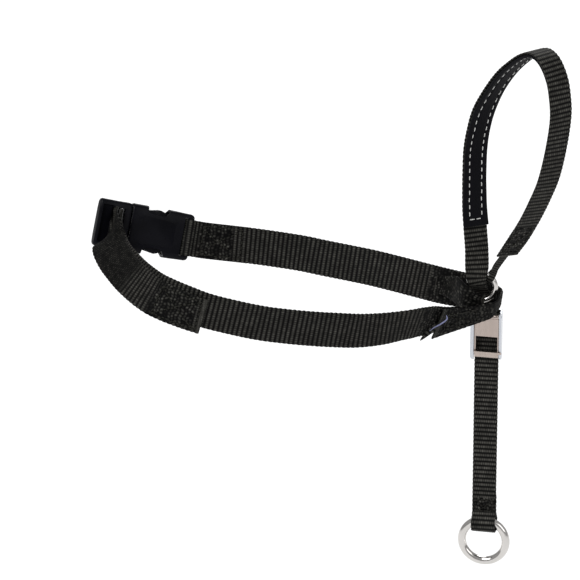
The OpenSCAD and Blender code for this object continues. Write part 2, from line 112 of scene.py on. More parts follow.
# ---- Routes, station by station as in the CAD part ----
# Each row is x, y, z, the direction of the width, and the share of the full width.
# A place q on a route counts stations from 0: 2.5 lies midway between the rows 2 and 3.
REAR = np.array([
    buckle_station([38, -NECK_LAP / 2, 0]),
    [-43, 40, 11.5, 0.16, 0.36, 0.92, 1], [-27, 44, 8, 0.12, 0.36, 0.92, 1],
    [-14, 46, 5.5, 0.13, 0.36, 0.92, 1], [5, 47, 2, 0.15, 0.36, 0.92, 1],
    [18, 46, -0.5, 0.15, 0.36, 0.92, 1], [31, 44, -2.5, 0.17, 0.36, 0.92, 1],
    [43, 41, -4, 0.18, 0.36, 0.92, 1], [56, 36, -5.5, 0.2, 0.36, 0.91, 1],
    [68, 30, -6.5, 0.2, 0.36, 0.91, 1], [80, 23, -7, 0.17, 0.36, 0.92, 1],
    [91, 16, -6.5, 0.15, 0.3, 0.94, 0.95], [99, 12, -5.5, 0.1, 0.2, 0.97, 0.75],
    [105.3, 8.2, -4.9, 0.05, 0.1, 0.99, 0.54], [108.7, 2.5, -4.7, 0.1, 0, 0.99, 0.44],
    [107.8, -3.6, -5.6, 0.2, -0.1, 0.97, 0.47], [104.5, -7.6, -7.6, 0.3, -0.2, 0.93, 0.54],
    [98, -9, -9.4, 0.2, -0.3, 0.93, 0.62], [91, -10, -11, 0.05, -0.35, 0.93, 0.72],
    [84, -12, -12, -0.05, -0.35, 0.93, 0.82], [76, -15.5, -12.8, -0.15, -0.35, 0.92, 0.9],
])
FRONT = np.array([
    buckle_station([-6.2, -5, 0.5], 0.94),
    [-90.5, 15.5, 25.8, 0.5, 0.42, 0.75, 1], [-92.5, 7, 23.5, 0.72, 0.42, 0.55, 1],
    [-89.5, -3, 20.5, 0.74, 0.3, 0.6, 1], [-84.5, -13, 18.5, 0.7, 0.26, 0.66, 1],
    [-78.5, -23, 16.5, 0.64, 0.25, 0.72, 1], [-70, -33, 14, 0.56, 0.2, 0.78, 1],
    [-62, -38.5, 12, 0.48, 0.15, 0.84, 1], [-53.5, -42.5, 10, 0.38, 0.1, 0.9, 1],
    [-41.5, -46, 7, 0.28, 0, 0.96, 1], [-25, -48, 3.5, 0.24, 0, 0.97, 1],
    [-13, -48, 1, 0.21, 0, 0.98, 1], [-1, -47, -1, 0.19, 0, 0.98, 1],
    [11, -45, -3, 0.16, 0, 0.98, 1], [23.5, -42, -5, 0.13, 0, 0.99, 1],
    [35.5, -38, -7, 0.1, -0.05, 0.99, 1], [48, -33, -8, 0.08, -0.15, 0.98, 1],
    [60, -26.5, -8.5, 0.05, -0.3, 0.94, 1], [68, -20, -9.5, 0, -0.35, 0.93, 0.96],
    [76, -13.2, -11, -0.05, -0.35, 0.93, 0.86], [84, -9.9, -11, 0, -0.35, 0.93, 0.74],
    [91, -7.9, -10.2, 0.05, -0.35, 0.93, 0.62],
])
NOSE = np.array([
    control_station(0, -9.8, 0.84), control_station(0, -9.2, 0.82),
    [101, 3.4, -7, 0.99, -0.15, 0, 0.77], [99, 3.7, -3.8, 1, -0.05, 0, 0.72],
    [97.6, 0.5, 0.8, 1, 0, 0, 0.63], [96.6, -3.4, 4.4, 1, 0.05, 0, 0.66],
    [95.8, -4.8, 8, 0.98, 0.15, 0, 0.8], [96, -4.2, 14, 0.95, 0.3, 0, 1],
    [95.8, -2.6, 24, 0.9, 0.42, 0, 1], [95, -1.4, 34, 0.87, 0.5, 0, 1],
    [94.2, 0, 45, 0.87, 0.5, 0, 1], [94, 0, 56, 0.87, 0.5, 0, 1],
    [94, 0, 67, 0.87, 0.5, 0, 1], [94.3, 0, 78, 0.87, 0.5, 0, 1],
    [95.5, -2, 89, 0.87, 0.5, 0, 1], [98, -5.5, 101, 0.86, 0.5, 0, 1],
    [102.5, -11.5, 114, 0.85, 0.52, 0, 1], [108.5, -19.5, 126.5, 0.84, 0.54, 0, 1],
    [114.5, -27.5, 136, 0.82, 0.57, 0, 1], [119.5, -34, 141.5, 0.8, 0.6, 0, 1],
    [124.5, -40.5, 142.5, 0.8, 0.6, 0, 1], [129, -46.5, 139.5, 0.82, 0.57, 0, 1],
    [132.5, -51, 132.5, 0.84, 0.54, 0, 1], [134, -53.5, 123, 0.86, 0.5, 0, 1],
    [134.3, -53.5, 112.5, 0.87, 0.5, 0, 1], [132.5, -51, 96, 0.88, 0.48, 0, 1],
    [129.5, -47, 79, 0.89, 0.46, 0, 1], [125.5, -42, 65.5, 0.9, 0.44, 0, 1],
    [121, -36, 52.5, 0.9, 0.42, 0, 1], [115.5, -28.5, 39, 0.9, 0.42, -0.1, 1],
    [110.5, -22, 28, 0.9, 0.4, -0.2, 1],
])
FOLD = np.array([
    [76, 23.6, -6.3, 0.2, 0.36, 0.92, 0.6], [81, 17.5, -5.2, 0.2, 0.3, 0.93, 0.55],
    [84.5, 9, -4.4, 0.1, 0.1, 0.98, 0.5], [86.8, 2, -4, 0, 0, 1, 0.48],
    [90, -2.4, -3.6, 0, -0.05, 1, 0.46], [95, -3.6, -3.8, 0, -0.05, 1, 0.44],
    [100, -3.7, -4.8, 0, -0.05, 1, 0.4],
])
TAPE_SHARE = 0.38
TAPE = np.array([[*row, TAPE_SHARE] for row in (
    [118.8, -31.9, 48.6, 0.9, 0.42, 0], [114.5, -26.3, 38, 0.9, 0.42, -0.1],
    [109.8, -20.2, 27.9, 0.9, 0.38, -0.2], [105.6, -11.5, 17.5, 0.85, 0.1, -0.5],
    [104.2, -5.2, 10.5, 0.77, 0, -0.64], [102.7, -2.7, 6.6, 0.77, 0, -0.64],
    [101.5, 0, 5, 0.77, 0, -0.64], [102.7, 2.7, 6.6, 0.77, 0, -0.64],
    [104.9, 1.6, 9.6, 0.77, 0, -0.64], [105.9, -3, 12.2, 0.8, 0, -0.6],
    [107.2, -10, 17.5, 0.85, 0.1, -0.5],
)])
LEAD_PIVOT, LEAD_TURN = (0.7, -133.3), 4.4       # the fold's middle in y and z, and its radius
CONTROL = np.array(
    [control_station(0, -10.5, 0.92)]
    + [control_station(0, z) for z in (-15, -40, -80, -110, -122)]
    + [control_station(-0.1, -127)]
    + [control_station(LEAD_PIVOT[0] + LEAD_TURN * math.cos(math.radians(a)),
                       LEAD_PIVOT[1] + LEAD_TURN * math.sin(math.radians(a)))
       for a in np.arange(160, 381, 27.5)]
    + [control_station(NOSE_LAP + 0.2, -127), control_station(NOSE_LAP + 0.05, -122),
       control_station(NOSE_LAP, -117)]
)


# ---- Moving along a route ----
HEADING_REACH = 0.05             # how far before and after a place its heading is measured
DENSE, DENSE_PER_STATION = 400, 60   # samples for measuring a route's length


def at(route, q):
    """Stations at the places q, on the same smooth curve that the CAD part sweeps."""
    q = np.atleast_1d(np.asarray(q, float))
    last = len(route) - 1
    i = np.clip(np.floor(q).astype(int), 0, last - 1)
    t = (q - i)[:, None]
    b, c = route[i], route[i + 1]
    a = np.where((i > 0)[:, None], route[np.maximum(i - 1, 0)], 2 * b - c)
    d = np.where((i + 2 <= last)[:, None], route[np.minimum(i + 2, last)], 2 * c - b)
    return (b + (c - a) * t / 2 + (2 * a - 5 * b + 4 * c - d) * t**2 / 2
            + (3 * b - a - 3 * c + d) * t**3 / 2)


def unit(v):
    return v / np.linalg.norm(v, axis=-1, keepdims=True)


def frames(route, q):
    """Place, heading, width direction, outward direction and width share at the places q."""
    last = len(route) - 1
    q = np.atleast_1d(np.asarray(q, float))
    s = at(route, q)
    ahead, behind = np.minimum(q + HEADING_REACH, last), np.maximum(q - HEADING_REACH, 0)
    head = unit(at(route, ahead)[:, :3] - at(route, behind)[:, :3])
    u = s[:, 3:6]
    across = unit(u - head * (u * head).sum(1)[:, None])
    return s[:, :3], head, across, np.cross(head, across), s[:, 6]


def layer(route, qs, h=0.0, v=0.0):
    """Stations of a layer that lies h off the route and v to one side."""
    p, _, u, n, w = frames(route, qs)
    v, h = np.broadcast_to(v, len(p)), np.broadcast_to(h, len(p))
    return np.hstack([p + u * v[:, None] + n * h[:, None], u, w[:, None]])


def even(route, q0, q1, step):
    """Places q, evenly spaced in length, and the length at each."""
    dense = np.linspace(q0, q1, max(DENSE, int(abs(q1 - q0) * DENSE_PER_STATION)))
    p = at(route, dense)[:, :3]
    s = np.concatenate([[0], np.cumsum(np.linalg.norm(np.diff(p, axis=0), axis=1))])
    n = max(2, round(s[-1] / step))
    places = np.linspace(0, s[-1], n + 1)
    return np.interp(places, s, dense), places


def smooth(x):
    """An even step from 0 to 1."""
    x = np.clip(x, 0, 1)
    return x * x * (3 - 2 * x)


def wave(x):
    """Rounded humps from 0 to 1, one per unit of x."""
    return np.abs(np.sin(math.pi * x))


def scatter(a, b=0.0):
    """A fixed value from 0 to 1 for each pair of numbers."""
    x = np.sin(np.asarray(a) * 12.9898 + np.asarray(b) * 78.233) * 43758.5453
    return x - np.floor(x)


# ---- Materials ----
def new_material(name, **values):
    """A material, its node tree and its shader with these inputs set."""
    m = bpy.data.materials.new(name)
    m.use_nodes = True
    shader = m.node_tree.nodes["Principled BSDF"]
    for key, value in values.items():
        shader.inputs[key.replace("_", " ")].default_value = value
    return m, m.node_tree, shader


def noise(tree, scale, detail=3.0, stretch=(1, 1, 1), source="Object"):
    """Procedural noise in the object's own space, or along the strap with source UV."""
    where = tree.nodes.new("ShaderNodeTexCoord")
    mapping = tree.nodes.new("ShaderNodeMapping")
    mapping.inputs["Scale"].default_value = stretch
    tree.links.new(where.outputs[source], mapping.inputs["Vector"])
    n = tree.nodes.new("ShaderNodeTexNoise")
    n.inputs["Scale"].default_value = scale
    n.inputs["Detail"].default_value = detail
    tree.links.new(mapping.outputs["Vector"], n.inputs["Vector"])
    return n.outputs["Fac"]


def ramp(tree, source, stops):
    r = tree.nodes.new("ShaderNodeValToRGB")
    while len(r.color_ramp.elements) < len(stops):
        r.color_ramp.elements.new(0.5)
    for element, (place, colour) in zip(r.color_ramp.elements, stops):
        element.position = place
        element.color = (*colour, 1)
    tree.links.new(source, r.inputs["Fac"])
    return r.outputs["Color"]


def two_tone(tree, source, dark, light):
    """Colours between dark and light, over the range that the noise mostly takes."""
    return ramp(tree, source, [(0.3, dark), (0.7, light)])


def grey_ramp(tree, source, low, high):
    return two_tone(tree, source, (low,) * 3, (high,) * 3)


def multiply(tree, a, b):
    mix = tree.nodes.new("ShaderNodeMix")
    mix.data_type, mix.blend_type = "RGBA", "MULTIPLY"
    mix.inputs["Factor"].default_value = 1
    tree.links.new(a, mix.inputs["A"])
    tree.links.new(b, mix.inputs["B"])
    return mix.outputs["Result"]


def bump(tree, shader, source, strength, distance):
    b = tree.nodes.new("ShaderNodeBump")
    b.inputs["Strength"].default_value = strength
    b.inputs["Distance"].default_value = distance
    tree.links.new(source, b.inputs["Height"])
    tree.links.new(b.outputs["Normal"], shader.inputs["Normal"])


def webbing_material(name, valley_shade, crest_and_highlight, tint):
    """Woven black nylon, coloured along the weave: painted shade between the yarns and a painted
    highlight on their crests, over the yarn's own dark colour.
    """
    m, tree, shader = new_material(name, Roughness=0.62, Specular_IOR_Level=0.07)
    weave = tree.nodes.new("ShaderNodeAttribute")
    weave.attribute_name = "weave"
    # painted shade and highlight: the weave's low places take the near-black valley colour as painted
    # shade, and its crests a lighter colour that adds a painted highlight to the yarn's own
    colour = ramp(tree, weave.outputs["Fac"], [
        (0.12, (valley_shade,) * 3), (0.5, tuple(0.3 * crest_and_highlight * t for t in tint)),
        (0.92, tuple(crest_and_highlight * t for t in tint))])
    wear = grey_ramp(tree, noise(tree, 160, 4), 0.72, 1.15)
    tree.links.new(multiply(tree, colour, wear), shader.inputs["Base Color"])
    fibres = noise(tree, 1.0, 2, stretch=(2600, 7000, 1), source="UV")
    tree.links.new(grey_ramp(tree, fibres, 0.5, 0.75), shader.inputs["Roughness"])
    bump(tree, shader, fibres, 0.35, 0.00012)
    return m


def thread_material(name, colour, rough):
    m, tree, shader = new_material(name, Specular_IOR_Level=0.15)
    fine = noise(tree, 2600, 2)
    tree.links.new(two_tone(tree, fine, tuple(c * 0.75 for c in colour), colour),
                   shader.inputs["Base Color"])
    tree.links.new(grey_ramp(tree, fine, rough, rough + 0.15), shader.inputs["Roughness"])
    bump(tree, shader, fine, 0.3, 0.0001)
    return m


def plastic_material():
    m, tree, shader = new_material("buckle_plastic", Specular_IOR_Level=0.055, Coat_Weight=0.012,
                                   Coat_Roughness=0.2)
    grain = noise(tree, 1500, 3)
    tree.links.new(two_tone(tree, noise(tree, 90, 3), (0.002, 0.002, 0.003), (0.004, 0.004, 0.006)),
                   shader.inputs["Base Color"])
    tree.links.new(grey_ramp(tree, noise(tree, 220, 4), 0.26, 0.42), shader.inputs["Roughness"])
    bump(tree, shader, grain, 0.12, 0.00006)
    return m


def metal_material(name, colour, low, high, stretch, strength):
    """Rubbed metal, between two roughnesses."""
    m, tree, shader = new_material(name, Metallic=1.0)
    rub = noise(tree, 700, 4, stretch=stretch)
    tree.links.new(two_tone(tree, noise(tree, 120, 3), tuple(c * 0.93 for c in colour), colour),
                   shader.inputs["Base Color"])
    tree.links.new(grey_ramp(tree, rub, low, high), shader.inputs["Roughness"])
    bump(tree, shader, rub, strength, 0.00004)
    return m


def lining_material():
    m, tree, shader = new_material("lining", Specular_IOR_Level=0.07, Sheen_Weight=0.04)
    weave = noise(tree, 1.0, 2, stretch=(3600, 3600, 1), source="UV")
    tree.links.new(two_tone(tree, weave, (0.0012, 0.0012, 0.0018), (0.004, 0.004, 0.006)),
                   shader.inputs["Base Color"])
    tree.links.new(grey_ramp(tree, weave, 0.78, 0.95), shader.inputs["Roughness"])
    bump(tree, shader, weave, 0.4, 0.00012)
    return m


WARM = (1.0, 0.97, 0.86)
MATERIALS = {
    # the two numbers are the painted shade in the weave's valleys and the crest colour with its painted
    # highlight
    "neck_webbing": webbing_material("neck_webbing", 0.0004, 0.062, WARM),
    "nose_webbing": webbing_material("nose_webbing", 0.0004, 0.085, WARM),
    "lining": lining_material(),
    # painted glint: a pale bluish colour standing for light glinting on the chin band's melted cut edge
    "painted_glint": thread_material("painted_glint", (0.19, 0.2, 0.33), 0.45),
    "black_thread": thread_material("black_thread", (0.016, 0.0155, 0.012), 0.6),
    "white_thread": thread_material("white_thread", (0.62, 0.62, 0.6), 0.6),
    "buckle_plastic": plastic_material(),
    "ring_metal": metal_material("ring_metal", (0.62, 0.6, 0.58), 0.1, 0.18, (1, 1, 1), 0.05),
    "clamp_metal": metal_material("clamp_metal", (0.43, 0.365, 0.33), 0.22, 0.36, (1, 1, 0.06), 0.12),
    "channel_metal": metal_material("channel_metal", (0.54, 0.56, 0.6), 0.2, 0.32, (1, 1, 0.06), 0.1),
}


# ---- Meshes ----
def make(name, points, faces, slot, uv=None, weave=None):
    """A mesh piece in metres from points in millimetres."""
    mesh = bpy.data.meshes.new(name)
    mesh.from_pydata((np.asarray(points) * MM).tolist(), [], faces)
    mesh.validate()
    if uv is not None:
        layer_uv = mesh.uv_layers.new(name="strap")
        corner = np.zeros(len(mesh.loops), np.int32)
        mesh.loops.foreach_get("vertex_index", corner)
        layer_uv.data.foreach_set("uv", (np.asarray(uv)[corner] * MM).astype(np.float32).ravel())
    if weave is not None:
        mesh.attributes.new("weave", "FLOAT", "POINT").data.foreach_set(
            "value", np.asarray(weave, np.float32))
    mesh.polygons.foreach_set("use_smooth", [True] * len(mesh.polygons))
    mesh.materials.append(MATERIALS[slot])
    o = bpy.data.objects.new(name, mesh)
    bpy.context.scene.collection.objects.link(o)
    bm = bmesh.new()
    bm.from_mesh(mesh)
    bmesh.ops.recalc_face_normals(bm, faces=bm.faces)
    bm.to_mesh(mesh)
    bm.free()
    return o


def tube_faces(rings, sides):
    """Quads between rings of vertices, with one flat face at each end."""
    i = np.arange(rings - 1)[:, None] * sides
    k = np.arange(sides)[None]
    a, b = i + k, i + (k + 1) % sides
    quads = np.stack([a, b, b + sides, a + sides], -1).reshape(-1, 4).tolist()
    quads.append(list(range(sides))[::-1])
    quads.append(list(range((rings - 1) * sides, rings * sides)))
    return quads


# Pitches along and across the strap, and how gradually one weave passes into another
RIB, CELL = 2.42, 1.2            # the ribs and their yarns
KNOT_L, KNOT_W, KNOT_FADE = 1.95, 1.6, 1.5       # the knotted surface of a sewn box
FINE_RIB, FINE_CELL, FINE_FADE = 1.3, 1.24, 7.0  # the close twill beside the plug
SLANT_REACH = 14.0               # how far from a slanted cut the weave is drawn over
MESH_STEP = 0.31                 # between vertices, along and across


def weave_height(s, a, half, zones, fine, length, melt_and_sheen, side):
    """Height from 0 to 1 of the woven face at length s and place a (-1 to 1) across it.

    zones and fine are the lengths where it is knotted and where it is twill, the melt pair is how far
    the heat-sealed ends reach, where the weave is raised towards its lighter crest colour as a painted
    highlight on the melted end, and side is true on the strap's back.
    """
    v = a[None] * half
    rows = s[:, None] / RIB + 0.045 * np.sin(s[:, None] / 17) + 0.012 * v + 0.5 * side
    row = np.floor(rows)
    rib = wave(rows) ** 1.35
    cells = v / CELL + 0.5 * (row % 2) + 0.06 * np.sin(row * 1.7)
    yarn = wave(cells) ** 0.8
    h = rib * (0.3 + 0.7 * yarn) * (0.72 + 0.28 * scatter(row, np.floor(cells)))
    lumps = s[:, None] / KNOT_L + 0.16 * np.sin(v * 1.1) + 0.12 * np.sin(s[:, None] * 0.8)
    files = v / KNOT_W + 0.2 * np.sin(s[:, None] * 0.9) + 0.5 * (np.floor(lumps) % 2)
    knots = (wave(lumps) ** 0.9 * (0.2 + 0.8 * wave(files))
             * (0.12 + 0.88 * scatter(np.floor(lumps), np.floor(files))))
    close = s[:, None] / FINE_RIB + 0.1 * v
    floats = v / FINE_CELL + 0.5 * np.floor(close)
    twill = (0.02 + 0.8 * wave(close) ** 1.4 * (0.15 + 0.85 * wave(floats) ** 1.3)
             * (0.3 + 0.7 * scatter(np.floor(close), np.floor(floats))))
    for spans, other, fade in ((zones, knots, KNOT_FADE), (fine, twill, FINE_FADE)):
        for start, stop in spans:
            z = (smooth((s - start) / fade + 0.5) * smooth((stop - s) / fade + 0.5))[:, None]
            h = h * (1 - z) + other * z
    # painted highlight: towards each heat-sealed end the weave is flattened and raised to a lighter
    # colour, standing for light glinting on the melted end
    for reach, distance in ((melt_and_sheen[0], s), (melt_and_sheen[1], length - s)):
        z = (1 - smooth(distance / reach - 0.4))[:, None]
        h = h * (1 - z) + (0.5 + 0.6 * twill) * z
    return h


def strap(name, route, width, thick, slot, q1=None, zones=(), fine=(), melt_and_sheen=(0.8, 0.8),
          relief=0.34, across=None, slant=(0, 0)):
    """Woven webbing swept along a route: two ribbed faces, rounded edges and closed ends.

    slant is how far each end's cut leans forwards at the strap's edge.
    """
    q, s = even(route, 0, len(route) - 1 if q1 is None else q1, MESH_STEP)
    p, head, u, n, w = frames(route, q)
    a = np.linspace(-1, 1, (across or int(round(width / MESH_STEP))) + 1)
    zones, fine = ([(np.interp(z0, q, s), np.interp(z1, q, s)) for z0, z1 in spans]
                   for spans in (zones, fine))
    rows, weave, uv = [], [], []
    skew = (slant[0] * (1 - smooth(s / SLANT_REACH))
            + slant[1] * smooth(1 - (s[-1] - s) / SLANT_REACH))
    edge = 1 - 0.3 * smooth((np.abs(a) - 0.9) / 0.1)
    for sign, aa in ((1, a), (-1, a[::-1])):
        h = weave_height(s, aa, width / 2, zones, fine, s[-1], melt_and_sheen, sign < 0)
        scallop = (0.972 + 0.028 * wave(s / RIB))[:, None]
        v = aa[None] * (width / 2) * w[:, None] * scallop
        lift = (thick / 2 - relief * (1 - h)) * edge[None] * sign
        rows.append(p[:, None] + u[:, None] * v[..., None] + n[:, None] * lift[..., None]
                    + head[:, None] * (skew[:, None] * aa[None])[..., None])
        weave.append(h)
        uv.append(np.stack([np.broadcast_to(aa[None] * width / 2, h.shape),
                            np.broadcast_to(s[:, None], h.shape)], -1))
    points = np.concatenate(rows, 1)
    return make(name, points.reshape(-1, 3), tube_faces(len(s), points.shape[1]), slot,
                uv=np.concatenate(uv, 1).reshape(-1, 2), weave=np.concatenate(weave, 1).ravel())


# ---- Thread ----
THREAD_D, LINING_THREAD_D = 0.62, 0.5
THREAD_FLAT = 0.85               # a stitch's height as a share of its width


def thread_bars(name, bars, d, slot, sides=8, rings=9):
    """Stitches: each rises out of the cloth, lies along it and goes back in."""
    points, faces = [], []
    t = np.linspace(0, 1, rings)
    for start, stop, up in bars:
        start, stop, up = (np.asarray(x, float) for x in (start, stop, up))
        along = unit(stop - start)
        wide = unit(np.cross(up, along))
        arch = np.sin(math.pi * t) ** 0.3
        height = (arch - 1) * d * THREAD_FLAT + d * 0.34
        mid = start + (stop - start) * t[:, None] + up * height[:, None]
        r = d / 2 * (0.62 + 0.38 * arch)
        angle = np.arange(sides) * 2 * math.pi / sides
        ply = 1 + 0.1 * np.cos(2 * (angle[None] - t[:, None] * 7))
        ring = (mid[:, None] + wide * (np.cos(angle)[None] * ply * r[:, None])[..., None]
                + up * (np.sin(angle)[None] * ply * r[:, None] * THREAD_FLAT)[..., None])
        base = sum(len(x) for x in points)
        points.append(ring.reshape(-1, 3))
        faces += [[v + base for v in f] for f in tube_faces(rings, sides)]
    return make(name, np.concatenate(points), faces, slot)


def row_bars(route, start, stop, count, h, fill=0.68, stray=0.0):
    """A row of stitches from one [q, v] to another, on the face h off the route's middle.

    fill is the thread's share of each stitch, and stray how far the ends wander.
    """
    start, stop, sign = np.array(start, float), np.array(stop, float), math.copysign(1, h)
    bars = []
    for i in range(count):
        drift = stray * (scatter(i + 1, abs(start[1]) + h) - 0.5) if count > 2 else 0.0
        ends = [start + (stop - start) * (i + f) / count + [0, drift] for f in (0, fill)]
        p, _, u, n, w = frames(route, [e[0] for e in ends])
        spots = [p[k] + u[k] * ends[k][1] + n[k] * h for k in (0, 1)]
        bars.append((*spots, unit(n[0] + n[1]) * sign))
    return bars


def box_seam(name, route, q0, q1, half, h, along, over):
    """A sewn box with a cross in it, with these numbers of stitches along and across."""
    sides = [([q0, -half], [q1, -half], along), ([q1, half], [q0, half], along),
             ([q0, half], [q0, -half], over), ([q1, -half], [q1, half], over),
             ([q0, -half], [q1, half], along + 1), ([q0, half], [q1, -half], along + 1)]
    bars = [b for start, stop, count in sides
            for b in row_bars(route, start, stop, count, h, stray=0.5)]
    return thread_bars(name, bars, THREAD_D, "black_thread")


# ---- Neck webbing ----
BAR_X, BAR_R = 33.2, 1.7         # the socket's bar, in the buckle's own x
BAR_TURN = BAR_R + 0.2 + NECK_T / 2
rear_full = np.vstack([
    layer(REAR, np.arange(2.4, 0.2, -0.4), -NECK_LAP),
    [buckle_station([BAR_X - BAR_TURN * math.sin(math.radians(a)),
                     BAR_TURN * math.cos(math.radians(a)), 0]) for a in range(-5, 191, 38)],
    REAR,
])
SHIFT = len(rear_full) - len(REAR)   # the stations before REAR's first
rear = strap("neck_rear_webbing", rear_full, NECK_W, NECK_T, "neck_webbing",
             zones=[(0, 5), (SHIFT + 0.3, SHIFT + 1.8), (SHIFT + 9.4, SHIFT + 12.8),
                    (SHIFT + 15.2, SHIFT + 19.8)], slant=(0, -3.2))
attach(rear, "root")
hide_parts("neck_rear_strap")

SPLIT_Q, TAIL_END_Q = 3.2, 8.9   # where the stretch beside the plug begins, and where the tail ends
TAIL_DROP = 3.2                  # how far the folded-back tail hangs below the strap at its end


def tail(qs):
    """Stations of the second layer on the front strap's outside."""
    qs = np.atleast_1d(qs)
    return layer(FRONT, qs, NECK_LAP, -TAIL_DROP * np.clip((qs - 1.5) / 5, 0, 1))


WEB_BAR_X, WEB_BAR_R = -7.5, 1.3     # the plug's bar
WEB_TURN = WEB_BAR_R + 0.25 + NECK_T / 2
front_full = np.vstack([
    FRONT[:3:-1],
    layer(FRONT, np.arange(SPLIT_Q + 0.3, 0.25, -0.4)),
    [buckle_station([WEB_BAR_X + WEB_TURN * math.cos(math.radians(a)),
                     WEB_TURN * math.sin(math.radians(a)), 0], 0.93) for a in range(-20, 201, 40)],
    [buckle_station([-9.3, -4.4, 0.5], 0.93)],
    tail(np.arange(1.4, TAIL_END_Q + 0.01, 0.5)),
])
END = len(front_full) - 1
front = strap("neck_front_webbing", front_full, NECK_W, NECK_T, "neck_webbing",
              zones=[(0, 3.2), (END - 5.2, END - 0.6)], fine=[(END - 16, END - 8)], melt_and_sheen=(0.8, 2))
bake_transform(front)
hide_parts("neck_front_strap", "neck_front_tail", "buckle_strap_loop")

ON_NECK, ON_NOSE = NECK_T / 2 - 0.05, NOSE_T / 2 - 0.04    # where thread lies on each webbing
seam = box_seam("rear_end_seam", REAR, 0.6, 2.1, 7.5, ON_NECK, 11, 6)
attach(seam, "root")
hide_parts("rear_end_stitching")
TAIL_SEAM_Q = 6.4
tail_route = tail(TAIL_SEAM_Q + (TAIL_END_Q - TAIL_SEAM_Q) * np.arange(13) / 12)
seam = box_seam("front_tail_seam", tail_route, 1, 11.2, 7.5, ON_NECK, 11, 6)
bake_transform(seam)
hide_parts("front_tail_stitching")
seam = box_seam("chin_join_seam", REAR, 17.3, 19.6, 4.4, -ON_NECK, 7, 4)
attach(seam, "root")
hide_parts("chin_join_stitching")

# The gathered fold, fuller and higher beside the nose strap than the CAD's, to cover the ring
FOLD_GATHER = 0.6                # its weave is drawn in to this share of the webbing's width
FOLD[:, 2] += [0, 0.4, 1.4, 2.5, 1.6, 0, 0]
FOLD[:, 6] *= np.array([0.8, 1, 1.3, 1.7, 1.4, 0.95, 1]) / FOLD_GATHER
fold = strap("chin_fold_webbing", FOLD, NECK_W * FOLD_GATHER, NECK_T, "neck_webbing",
             zones=[(0, len(FOLD) - 1)])
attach(fold, "root")
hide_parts("chin_fold")

# The corner of the layer under the chin band's cut end, and a thin pale bluish strip along the cut edge
# of both that is a painted glint
END_SIDE = [0.68, -0.2, -0.7]
CORNER = np.array([[75.3, -16.9, -13.2, *END_SIDE, 1], [71.5, -17, -16.4, *END_SIDE, 0.8],
                   [68.6, -17.1, -19.2, *END_SIDE, 0.5], [66.9, -17.2, -21, *END_SIDE, 0.12]])
corner = strap("chin_end_corner", CORNER, 3.4, 0.8, "nose_webbing", relief=0.15, across=12)
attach(corner, "root")
# the path of the painted glint along the cut edge
EDGE = np.array([[80.2, -17.7, -6.9, *END_SIDE, 0.5], [80.4, -17.7, -9.1, *END_SIDE, 1],
                 [77.3, -17.7, -11.7, *END_SIDE, 1], [74.2, -17.5, -13.6, *END_SIDE, 0.8],
                 [71.6, -17, -15.8, *END_SIDE, 0.3]])
pale = strap("chin_end_glint", EDGE, 0.7, 0.5, "painted_glint", relief=0.03, across=4)
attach(pale, "root")

# ---- Nose loop ----
# Changed from the CAD's route: a narrower end, a higher top, and a left side turned more to the front
NOSE[-1, 6] = 0.86
NOSE[18:23, 2] += [-0.4, 0, 1.5, 1.5, 0.4]
NOSE[8:14, 3:5] = 0.95, 0.31
NOSE[14:16, 3:5] = 0.92, 0.39
nose = strap("nose_webbing_loop", NOSE, NOSE_W, NOSE_T, "nose_webbing", relief=0.27,
             zones=[(28.3, 29.9)], slant=(0, -1.2))
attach(nose, "nose")
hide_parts("nose_strap")
TAPE[:, 6] *= np.interp(np.arange(len(TAPE)), [0, 1, 3], [1.1, 1, 0.72])
tape = strap("ring_tape", TAPE, NOSE_W, 1.0, "nose_webbing", q1=8.3, relief=0.2, across=20)
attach(tape, "nose")
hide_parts("ring_tape_loop")
seam = box_seam("nose_end_seam", NOSE, 28.4, 29.75, 4.6, ON_NOSE, 6, 4)
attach(seam, "nose")
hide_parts("nose_end_stitching")

LINING_FROM, LINING_TO = 9.2, 26.6
LINING_OFF = -(NOSE_T / 2 + 0.15 + LINING_T / 2)
LINING_STEP, LINING_ACROSS = 0.42, 44            # between rows of vertices, and cells across
STITCHES, STITCH_V, STITCH_PITCH = 46, 3.3, 4.2  # in each row, from the middle, between puckers


def padded_lining():
    """The soft tape: full between its two sewn rows, drawn in along them and at its edges."""
    q, s = even(NOSE, LINING_FROM, LINING_TO, LINING_STEP)
    p, _, u, n, _ = frames(NOSE, q)
    a = np.linspace(-1, 1, LINING_ACROSS + 1)
    v = a * LINING_W / 2
    narrow = np.interp(q, [LINING_FROM, 11.5, 21, LINING_TO], [1, 0.89, 0.87, 0.64])[:, None, None]
    edge = 0.3 + 0.7 * np.clip(1 - np.abs(a) ** 9, 0, 1) ** 0.5
    pucker = 0.7 + 0.3 * wave(s / STITCH_PITCH)[:, None]
    sewn = sum(np.exp(-((v - k * STITCH_V) / 0.75) ** 2) for k in (-1, 1))[None]
    face = LINING_T / 2 * (1 - 0.42 * sewn * pucker) * edge[None]
    ends = (smooth(np.minimum(s, s[-1] - s) / 0.8 + 0.35))[:, None]
    back = np.broadcast_to(LINING_OFF + LINING_T / 2 * edge[::-1], face.shape)
    top, low = (p[:, None] + u[:, None] * across[None, :, None] * narrow + n[:, None] * lift[..., None]
                for across, lift in ((v, LINING_OFF - face * ends), (v[::-1], back)))
    points = np.concatenate([top, low], 1)
    uv = np.stack(np.broadcast_arrays(np.concatenate([v, v[::-1]])[None], s[:, None]), -1)
    return make("nose_padding", points.reshape(-1, 3), tube_faces(len(s), points.shape[1]),
                "lining", uv=uv.reshape(-1, 2))


